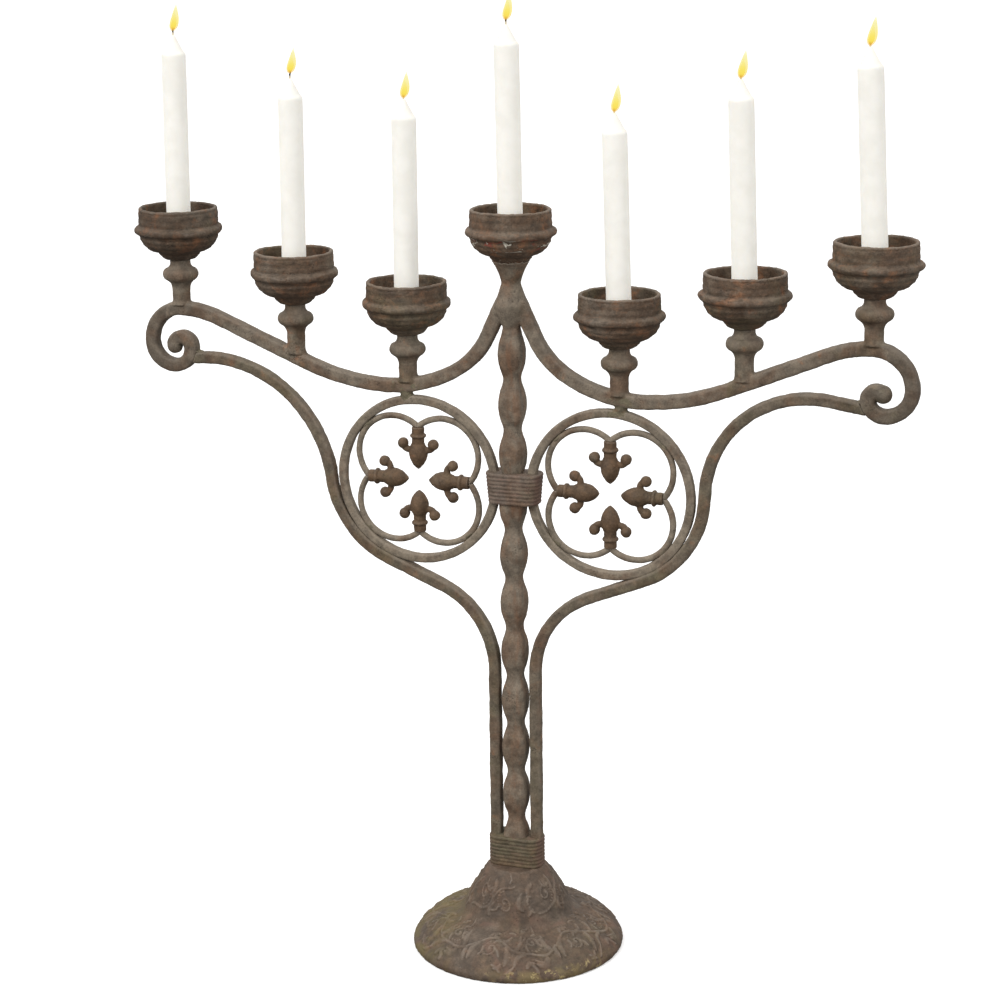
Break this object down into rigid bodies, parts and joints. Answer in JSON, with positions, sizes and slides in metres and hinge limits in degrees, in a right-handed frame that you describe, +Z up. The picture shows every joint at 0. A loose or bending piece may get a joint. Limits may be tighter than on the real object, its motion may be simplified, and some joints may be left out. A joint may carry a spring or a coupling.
{
  "type": "tabletop candelabra",
  "caption": "Tabletop candelabra of forged iron: a lobed stem on a bell foot, scrolled arms, rings with quatrefoils and fleurs, and taper candles in drip cups.",
  "frame": {"origin": "bottom centre of the foot", "axes": "+Z up, +X along the arms to the right, -Y towards the front"},
  "size_m": [0.7262, 0.196, 0.8541],
  "materials": {
    "bar_iron": "forged and rusted, matt",
    "foot_iron": "cast, low relief, dusty",
    "cup_iron": "cast and turned, rusted",
    "fleur_iron": "cast, rusted",
    "hidden_steel": "plain",
    "wax": "smooth wax",
    "wick": "charred cotton"
  },
  "bodies": {
    "frame": {"arm_left": "bar_iron", "arm_right": "bar_iron", "arm_weld_left": "bar_iron", "arm_weld_right": "bar_iron", "base_collar": "bar_iron", "brace_left": "bar_iron", "brace_right": "bar_iron", "candle_sockets": "cup_iron", "crown_neck": "bar_iron", "cup_1": "cup_iron", "cup_2": "cup_iron", "cup_3": "cup_iron", "cup_4": "cup_iron", "cup_5": "cup_iron", "cup_6": "cup_iron", "cup_7": "cup_iron", "fleur_left_1": "fleur_iron", "fleur_left_2": "fleur_iron", "fleur_left_3": "fleur_iron", "fleur_left_4": "fleur_iron", "fleur_right_1": "fleur_iron", "fleur_right_2": "fleur_iron", "fleur_right_3": "fleur_iron", "fleur_right_4": "fleur_iron", "foil_left_1": "bar_iron", "foil_left_2": "bar_iron", "foil_left_3": "bar_iron", "foil_left_4": "bar_iron", "foil_right_1": "bar_iron", "foil_right_2": "bar_iron", "foil_right_3": "bar_iron", "foil_right_4": "bar_iron", "foot": "foot_iron", "foot_nut": "hidden_steel", "foot_washer": "hidden_steel", "middle_collar": "bar_iron", "neck_1": "bar_iron", "neck_2": "bar_iron", "neck_3": "bar_iron", "neck_5": "bar_iron", "neck_6": "bar_iron", "neck_7": "bar_iron", "ring_left": "bar_iron", "ring_right": "bar_iron", "stem": "bar_iron"},
    "candle_body_1": {"candle_1": "wax", "wick_1": "wick"},
    "candle_body_2": {"candle_2": "wax", "wick_2": "wick"},
    "candle_body_3": {"candle_3": "wax", "wick_3": "wick"},
    "candle_body_4": {"candle_4": "wax", "wick_4": "wick"},
    "candle_body_5": {"candle_5": "wax", "wick_5": "wick"},
    "candle_body_6": {"candle_6": "wax", "wick_6": "wick"},
    "candle_body_7": {"candle_7": "wax", "wick_7": "wick"}
  },
  "joints": [
    {"name": "lift_candle_1", "type": "slide", "parent": "frame", "child": "candle_body_1", "axis": [0.014, 0, 0.9999], "range_m": [0, 0.06]},
    {"name": "lift_candle_2", "type": "slide", "parent": "frame", "child": "candle_body_2", "axis": [0.0105, 0, 0.9999], "range_m": [0, 0.06]},
    {"name": "lift_candle_3", "type": "slide", "parent": "frame", "child": "candle_body_3", "axis": [0.0052, 0, 1], "range_m": [0, 0.06]},
    {"name": "lift_candle_4", "type": "slide", "parent": "frame", "child": "candle_body_4", "axis": [-0.0122, 0, 0.9999], "range_m": [0, 0.06]},
    {"name": "lift_candle_5", "type": "slide", "parent": "frame", "child": "candle_body_5", "axis": [-0.0244, 0, 0.9997], "range_m": [0, 0.06]},
    {"name": "lift_candle_6", "type": "slide", "parent": "frame", "child": "candle_body_6", "axis": [-0.0314, 0, 0.9995], "range_m": [0, 0.06]},
    {"name": "lift_candle_7", "type": "slide", "parent": "frame", "child": "candle_body_7", "axis": [-0.0489, 0, 0.9988], "range_m": [0, 0.06]}
  ]
}
